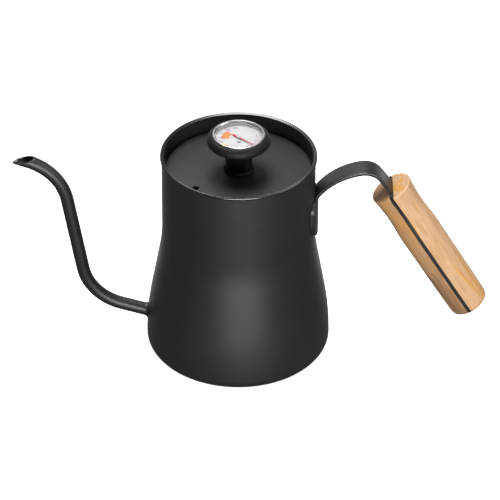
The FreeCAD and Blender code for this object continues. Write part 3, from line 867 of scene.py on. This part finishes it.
def handle_bar():
    """Strap, pad and tang in one piece."""
    bm = combined(strap_band(), strap_pad(), "UNION")
    plate = tang()
    for along in SCREW_PLACES:
        hole = lathe([(0, -4), (SCREW_HOLE_R, -4), (SCREW_HOLE_R, 4), (0, 4)], 32)
        plate = combined(plate, turned_to(hole, screw_frame(along)), "DIFFERENCE")
    bm = combined(bm, turned_to(plate, grip_frame()), "UNION")
    made = piece("handle_bar", bm, "kettle", COAT, ("handle_strap",))
    edge_start = (STRAP_W / 2 - STRAP_EDGE) * MM

    def arris(face):
        beside = abs(face.center.y) > edge_start and face.center.z > PAD_TOP * MM
        return beside and 0.2 < abs(face.normal.y) < 0.97

    repaint(made, THIN_COAT, arris)


def grip_half(side):
    """Half of the grip; side is 1 for the inner half and -1 for the outer one."""
    r0, flat = GRIP_PROFILE[0][1], STRAP_T / 2
    edge_angle = math.degrees(math.acos(flat / r0))
    round_part = arc_about((0, 0), r0, -edge_angle, edge_angle)
    corners = [(*round_part[0], GRIP_ARRIS), *round_part[1:-1], (*round_part[-1], GRIP_ARRIS)]
    section = dense(rounded(corners), 1.6)

    def ring(along, inset, flat_inset):
        r = through(GRIP_PROFILE, along) - inset
        low = flat + flat_inset
        return [Vector((side * (low + (a - flat) * (r - low) / (r0 - flat)), b * r / r0, along))
                for a, b in section]

    rings = []
    for sine, cosine in quarter(6):
        rings.append(ring(GRIP_TOP_EDGE * (1 - sine), GRIP_TOP_EDGE * (1 - cosine),
                          GRIP_ARRIS * (1 - cosine)))
    rings.reverse()
    body_start, body_end = GRIP_TOP_EDGE, GRIP_LEN - GRIP_END_EDGE
    rings += [ring(body_start + (body_end - body_start) * k / 30, 0, 0) for k in range(1, 30)]
    for sine, cosine in quarter(8):
        rings.append(ring(body_end + GRIP_END_EDGE * sine, GRIP_END_EDGE * (1 - cosine),
                          GRIP_ARRIS * (1 - cosine)))
    return skin(rings, caps=True)


def grip_outer():
    bm = turned_to(grip_half(-1), grip_frame())
    piece("grip_outer_wood", bm, "kettle", BEECH, ("grip_outer_half",))


def grip_inner():
    """Inner half, with a pocket for each screw's head."""
    bm = grip_half(1)
    for along in SCREW_PLACES:
        pocket = lathe([(0, HEAD_SEAT), (HEAD_POCKET_R, HEAD_SEAT), (HEAD_POCKET_R, 16), (0, 16)], 48)
        bm = combined(bm, turned_to(pocket, screw_frame(along)), "DIFFERENCE")
    bm = turned_to(bm, grip_frame())
    # The inner half takes the darker copy of the beech: painted shade, the same wood as the outer half.
    piece("grip_inner_wood", bm, "kettle", SHADED_BEECH, ("grip_inner_half",))


def hexagon(flats):
    """Corners of a hexagon by its width across the flats."""
    radius = flats / math.sqrt(3)
    return [polar(radius, k * math.pi / 3) for k in range(6)]


def screws():
    """Socket-head screws through the grip."""
    top = HEAD_SEAT + HEAD_H
    for name, along in zip(("upper", "lower"), SCREW_PLACES):
        bm = lathe([(0, -SCREW_REACH), (SCREW_R, -SCREW_REACH, 0.4), (SCREW_R, HEAD_SEAT),
                    (HEAD_R, HEAD_SEAT, 0.15), (HEAD_R, top, 0.7), (0, top)], 64)
        socket = prism(hexagon(HEX_SOCKET), top - SOCKET_DEPTH, top + 1)
        bm = combined(bm, socket, "DIFFERENCE")
        bm = turned_to(bm, grip_frame() @ screw_frame(along))
        piece("grip_screw_" + name, bm, "kettle", STEEL, ("grip_screws",))


# ---------------------------------------------------------------- lid

def lid_disc():
    """Flat lid with a rounded edge and a bevelled steam hole."""
    under = LID_TOP - LID_SHEET
    bm = lathe([(BOSS_R, under), (LID_R, under, 0.2), (LID_R, LID_TOP, 0.75), (BOSS_R, LID_TOP)])
    drill = lathe([(0, under - 1), (STEAM_HOLE_R, under - 1), (STEAM_HOLE_R, LID_TOP - STEAM_HOLE_SINK),
                   (STEAM_HOLE_R + 1 + STEAM_HOLE_SINK, LID_TOP + 1), (0, LID_TOP + 1)], 48)
    place = Matrix.Translation((STEAM_HOLE_AT[0] * MM, STEAM_HOLE_AT[1] * MM, 0))
    bm = combined(bm, turned_to(drill, place), "DIFFERENCE")
    made = piece("lid_disc", bm, "lid", COAT, ("lid_cover",))
    repaint(made, THIN_COAT, lambda face: face.center.xy.length > (LID_R - 0.7) * MM)


def lid_skirt_ring():
    top, inner = SKIRT_HIGH.z, SKIRT_R - SKIRT_SHEET
    bm = lathe([(inner, SKIRT_LOW.z, 0.2), (SKIRT_R, SKIRT_LOW.z, 0.2), (SKIRT_R, top, 0.5),
                (SKIRT_FLANGE_R, top), (SKIRT_FLANGE_R, top - SKIRT_SHEET, 0.2),
                (inner, top - SKIRT_SHEET, 0.4)])
    piece("lid_skirt_ring", bm, "lid", STEEL, ("lid_skirt",))


def lid_seal_sleeve():
    """Sleeve with two lips that holds the lid in the seat ring."""
    lip = SEAL_LIP_R - SEAL_R
    outline = [(SEAL_IN_R, SEAL_LOW.z, 0.2), (SEAL_R, SEAL_LOW.z, 0.3)]
    for centre in (SEAL_LOW.z + 2 * lip, SEAL_HIGH.z - 2 * lip):
        outline += arc_through((SEAL_R, centre - lip), (SEAL_LIP_R, centre), (SEAL_R, centre + lip))
    outline += [(SEAL_R, SEAL_HIGH.z, 0.3), (SEAL_IN_R, SEAL_HIGH.z, 0.2)]
    piece("lid_seal_sleeve", lathe(outline), "lid_seal", RUBBER, ("lid_seal",))


def knob():
    """Moulded knob: threaded boss, foot, smooth neck, and a collar round the gauge's pocket."""
    bm = lathe([
        (BORE_R, KNOB_LOW.z),
        (BOSS_R, KNOB_LOW.z, 0.3),
        (BOSS_R, LID_TOP),
        (KNOB_FOOT_R, LID_TOP),
        *arc_through((KNOB_FOOT_R, LID_TOP + 0.8), (8.2, LID_TOP + 1.6), (KNOB_NECK_R, KNOB_NECK_FROM)),
        *arc_through((KNOB_NECK_R, 132.5), (9.6, 137.0), (13.4, 139.1)),
        *arc_through((16.6, 140.1), (18.0, 140.7), (COLLAR_R, 142.0)),
        *arc_through((COLLAR_R, 142.2), (17.7, 144.6), (POCKET_R + 0.2, KNOB_HIGH.z)),
        (POCKET_R, KNOB_HIGH.z, 0.15),
        (POCKET_R, POCKET_FLOOR),
        (BORE_R, POCKET_FLOOR),
    ])
    made = piece("knob_moulding", bm, "lid", PLASTIC, ("knob_body",))
    repaint(made, SMOOTH_PLASTIC, lambda face: KNOB_NECK_FROM < face.center.z / MM < KNOB_NECK_TO)


def washer():
    washer_r = WASHER_HIGH.y
    bm = lathe([(BOSS_R, WASHER_LOW.z), (washer_r, WASHER_LOW.z, 0.25), (washer_r, WASHER_HIGH.z, 0.1),
                (BOSS_R, WASHER_HIGH.z)], 96)
    piece("washer", bm, "lid", STEEL, ("knob_washer",))


def hex_nut():
    """Nut with chamfered corners on its lower side."""
    flats = 2 * NUT_HIGH.y
    corner_r = flats / math.sqrt(3)
    chamfer = lathe([(BOSS_R, NUT_LOW.z), (flats / 2 - 0.3, NUT_LOW.z), (corner_r + 0.1, NUT_LOW.z + 0.8),
                     (corner_r + 0.1, NUT_HIGH.z), (BOSS_R, NUT_HIGH.z)], 96)
    blank = prism(hexagon(flats), NUT_LOW.z - 1, NUT_HIGH.z + 1)
    piece("hex_nut", combined(chamfer, blank, "INTERSECT"), "lid", STEEL, ("knob_nut",))


def grommet():
    """Sleeve in the knob's bore that grips the thermometer's stem."""
    bore = STEM_R + 0.15
    bm = lathe([(bore, GROMMET_LOW.z, 0.2), (BORE_R, GROMMET_LOW.z, 0.4), (BORE_R, GROMMET_HIGH.z, 0.2),
                (bore, GROMMET_HIGH.z, 0.2)], 64)
    piece("grommet", bm, "lid", RUBBER, ("stem_grommet",))


# ---------------------------------------------------------------- thermometer

def gauge_case():
    """Drawn steel cup."""
    floor = CASE_LOW.z + CASE_WALL
    bm = lathe([(STEM_R, CASE_LOW.z), (CASE_R, CASE_LOW.z, 0.5), (CASE_R, CASE_HIGH.z),
                (CASE_IN_R, CASE_HIGH.z), (CASE_IN_R, floor, 0.3), (STEM_R, floor)])
    piece("gauge_case", bm, "thermometer", STEEL, ("thermometer_case",))


def gauge_bezel():
    """Ring with a thin bright edge that slopes in towards the lens."""
    bm = lathe([(CASE_R, BEZEL_LOW.z), (BEZEL_R, BEZEL_LOW.z, 0.1), (BEZEL_R, BEZEL_HIGH.z, 0.35),
                (BEZEL_R - 0.75, BEZEL_HIGH.z, 0.2), (WINDOW_R, GLASS_HIGH.z + 0.15, 0.1),
                (WINDOW_R, GLASS_HIGH.z), (CASE_R, CASE_HIGH.z)])
    piece("gauge_bezel", bm, "thermometer", CHROME, ("thermometer_bezel",))


def gauge_retainer():
    """Ring that holds the dial down, seen as the grey wall round it."""
    bm = lathe([(RETAINER_IN_R, RETAINER_LOW.z), (CASE_IN_R, RETAINER_LOW.z),
                (CASE_IN_R, RETAINER_HIGH.z), (RETAINER_IN_R, RETAINER_HIGH.z, 0.1)])
    piece("gauge_retainer", bm, "thermometer", WALL_GREY, ("dial_retaining_ring",))


def gauge_gasket():
    bm = lathe([(RETAINER_IN_R, GASKET_LOW.z, 0.1), (CASE_IN_R, GASKET_LOW.z),
                (CASE_IN_R, GASKET_HIGH.z), (RETAINER_IN_R, GASKET_HIGH.z, 0.1)])
    piece("gauge_gasket", bm, "thermometer", PALE_RUBBER, ("lens_gasket",))


def gauge_glass():
    bm = lathe([(0, GLASS_LOW.z), (CASE_IN_R, GLASS_LOW.z, 0.1), (CASE_IN_R, GLASS_HIGH.z, 0.2),
                (0, GLASS_HIGH.z)])
    lens = piece("gauge_glass", bm, "thermometer", GLASS, ("thermometer_lens",))
    lens.visible_shadow = False


def gauge_dial():
    bm = lathe([(HUB_R / 2, DIAL_LOW.z), (DIAL_HIGH.y, DIAL_LOW.z), (DIAL_HIGH.y, DIAL_TOP, 0.1),
                (HUB_R / 2, DIAL_TOP)])
    piece("gauge_dial", bm, "thermometer", DIAL_WHITE, ("dial_face",))


def gauge_stem():
    """Thin tube with a domed, plugged tip."""
    bottom = STEM_LOW.z
    bm = lathe([(0, bottom), *arc_about((0, bottom + STEM_R), STEM_R, -80, 0), (STEM_R, STEM_HIGH.z),
                (STEM_BORE_R, STEM_HIGH.z), (STEM_BORE_R, STEM_PLUG_TOP),
                (0, STEM_PLUG_TOP)], 64)
    piece("gauge_stem", bm, "thermometer", STEEL, ("probe_stem",))


def dial_angle(temperature):
    return math.radians(SCALE_START + SCALE_SWEEP * temperature / SCALE_MAX)


def tick(angle, inner, outer, width):
    """One printed mark, along a radius of the dial."""
    side = Vector((-math.sin(angle), math.cos(angle))) * width / 2
    ends = [Vector(polar(r, angle)) for r in (inner, outer)]
    outline = [ends[0] - side, ends[1] - side, ends[1] + side, ends[0] + side]
    return prism(outline, DIAL_TOP, DIAL_TOP + PRINT_T)


def dial_scale():
    marks = []
    for temperature in range(0, SCALE_MAX + 1, 2):
        start, width = SHORT_MARK if temperature % 10 else LONG_MARK
        marks.append(tick(dial_angle(temperature), start, MARK_END_R, width))
    piece("dial_scale", joined(marks), "thermometer", INK)


def sector(low, high, inner, outer):
    """Flat patch of the dial between two temperatures and two radii."""
    steps = 16
    top = DIAL_TOP + PRINT_T
    columns = []
    for k in range(steps + 1):
        angle = dial_angle(low + (high - low) * k / steps)
        a, b = polar(inner, angle), polar(outer, angle)
        columns.append([Vector((*a, DIAL_TOP)), Vector((*b, DIAL_TOP)),
                        Vector((*b, top)), Vector((*a, top))])
    return skin(columns, caps=True)


def dial_zones():
    piece("dial_zone_hot", sector(*HOT_ZONE), "thermometer", ORANGE)
    piece("dial_zone_warm", sector(*WARM_ZONE), "thermometer", YELLOW)


def lettering(text, size, x, y, weight):
    """Raised flat text lying on the dial, centred on a point."""
    curve = bpy.data.curves.new("text", "FONT")
    curve.body = text
    curve.size = size * MM
    curve.align_x, curve.align_y = "CENTER", "CENTER"
    curve.extrude = PRINT_T / 2 * MM
    curve.offset = weight * MM
    holder = add_object("text", curve)
    bpy.context.view_layer.update()
    evaluated = holder.evaluated_get(bpy.context.evaluated_depsgraph_get())
    bm = bmesh.new()
    bm.from_mesh(evaluated.to_mesh())
    bpy.data.objects.remove(holder)
    bpy.data.curves.remove(curve)
    bmesh.ops.remove_doubles(bm, verts=bm.verts, dist=1e-7)
    return turned_to(bm, Matrix.Translation((x * MM, y * MM, (DIAL_TOP + PRINT_T / 2) * MM)))


def dial_numbers():
    numbers = []
    for temperature in range(0, SCALE_MAX + 1, 10):
        x, y = polar(NUMBER_R, dial_angle(temperature))
        numbers.append(lettering(str(temperature), NUMBER_SIZE, x, y, NUMBER_WEIGHT))
    piece("dial_numbers", joined(numbers), "thermometer", INK)
    unit = lettering("°C", UNIT_SIZE, 0, UNIT_Y, UNIT_WEIGHT)
    piece("dial_unit", unit, "thermometer", BLACK_INK)


def needle():
    """Tapered blade with a tail weight."""
    weight_x, weight_y = -NEEDLE_TAIL + TAIL_WEIGHT_LEN, TAIL_WEIGHT_HALF_W
    outline = [(-NEEDLE_TAIL, -weight_y), (weight_x, -weight_y), (0, -NEEDLE_HALF_W),
               (NEEDLE_REACH, -NEEDLE_TIP_HALF_W), (NEEDLE_REACH, NEEDLE_TIP_HALF_W),
               (0, NEEDLE_HALF_W), (weight_x, weight_y), (-NEEDLE_TAIL, weight_y)]
    blade = turned_to(prism(outline, NEEDLE_BOTTOM, NEEDLE_TOP), Matrix.Rotation(NEEDLE_ANGLE, 4, "Z"))
    made = piece("needle_blade", blade, "pointer", NEEDLE_RED, ("pointer",))
    soften = made.modifiers.new("edge", "BEVEL")
    soften.width = NEEDLE_EDGE * MM
    soften.segments = 2


def needle_hub():
    bottom, top = POINTER_LOW.z, POINTER_HIGH.z
    bm = lathe([(SHAFT_R, bottom), (HUB_R, bottom, 0.1), (HUB_R, top, 0.35), (SHAFT_R, top)], 64)
    piece("needle_hub", bm, "pointer", HUB_GREY, ("pointer",))


def carried_over():
    """CAD nodes that stay, with their finishes."""
    finishes = {"base_core": aluminium(), "grip_inserts": BRASS, "stem_bushing": BRASS,
                "bimetal_coil": STEEL, "pointer_shaft": STEEL}
    for name, paint in finishes.items():
        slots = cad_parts[name].data.materials
        slots.clear()
        slots.append(paint)


# ---------------------------------------------------------------- studio

def camera():
    """Camera at the photograph's viewing angle."""
    data = bpy.data.cameras.new("camera")
    data.sensor_width, data.lens = SENSOR, LENS
    made = add_object("camera", data)
    back = Vector((0, -math.cos(CAMERA_ELEVATION), math.sin(CAMERA_ELEVATION)))
    right = Vector((1, 0, 0))
    up = back.cross(right)
    level = Matrix((right, up, back)).transposed()
    made.matrix_world = (Matrix.Translation((CAMERA_TARGET + back * CAMERA_DISTANCE) * MM)
                         @ level.to_4x4() @ Matrix.Rotation(CAMERA_ROLL, 4, "Z"))
    bpy.context.scene.camera = made


def softbox(name, azimuth, elevation, distance, width, height, brightness):
    """Area light; azimuth 0 is the camera's side and 90 is the handle's side."""
    data = bpy.data.lights.new(name, "AREA")
    data.shape = "RECTANGLE"
    data.size, data.size_y = width, height
    data.energy = brightness * math.pi * width * height
    made = add_object(name, data)
    a, e = math.radians(azimuth), math.radians(elevation)
    back = Vector((math.sin(a) * math.cos(e), -math.cos(a) * math.cos(e), math.sin(e)))
    made.location = LIGHTS_AIM + back * distance
    made.rotation_mode = "QUATERNION"
    made.rotation_quaternion = back.to_track_quat("Z", "Y")
    made.visible_camera = False


def floor():
    """White paper that lights nothing and throws no reflection on the coat."""
    half = 4.0
    bm = bmesh.new()
    spots = ((-half, -half), (half, -half), (half, half), (-half, half))
    bm.faces.new([bm.verts.new((x, y, -FLOOR_GAP)) for x, y in spots])
    mesh = as_mesh("floor", bm)
    paint = Paint("floor_paper", (0.9, 0.9, 0.9), 0.9, Specular_IOR_Level=0.1)
    paint.set("Emission Color", (1.0, 1.0, 1.0, 1.0))
    paint.set("Emission Strength", FLOOR_GLOW)
    paint.set("Roughness", paint.spread(paint.noise(20), 0.85, 0.95))
    mesh.materials.append(paint.material)
    made = add_object("floor", mesh)
    made.visible_glossy = False
    made.visible_diffuse = False
    made.visible_shadow = False


def surroundings():
    """Dim grey room that the coat reflects, behind a plain white view."""
    world = bpy.data.worlds.new("studio")
    bpy.context.scene.world = world
    world.use_nodes = True
    tree = world.node_tree
    room = tree.nodes["Background"]
    room.inputs["Color"].default_value = (1, 1, 1, 1)
    room.inputs["Strength"].default_value = ROOM_BRIGHTNESS
    page = tree.nodes.new("ShaderNodeBackground")
    page.inputs["Color"].default_value = (1, 1, 1, 1)
    switch = tree.nodes.new("ShaderNodeMixShader")
    light_path = tree.nodes.new("ShaderNodeLightPath")
    tree.links.new(light_path.outputs["Is Camera Ray"], switch.inputs["Fac"])
    tree.links.new(room.outputs["Background"], switch.inputs[1])
    tree.links.new(page.outputs["Background"], switch.inputs[2])
    tree.links.new(switch.outputs["Shader"], tree.nodes["World Output"].inputs["Surface"])


def studio():
    bpy.context.scene.view_settings.view_transform = "Standard"
    surroundings()
    floor()
    for name, settings in SOFTBOXES.items():
        softbox(name, *settings)


camera()
vessel()
base_dish()
spout()
seat_ring()
handle_bar()
grip_outer()
grip_inner()
screws()
lid_disc()
lid_skirt_ring()
lid_seal_sleeve()
knob()
washer()
hex_nut()
grommet()
gauge_case()
gauge_bezel()
gauge_retainer()
gauge_gasket()
gauge_glass()
gauge_dial()
gauge_stem()
dial_scale()
dial_zones()
dial_numbers()
needle()
needle_hub()
carried_over()
studio()
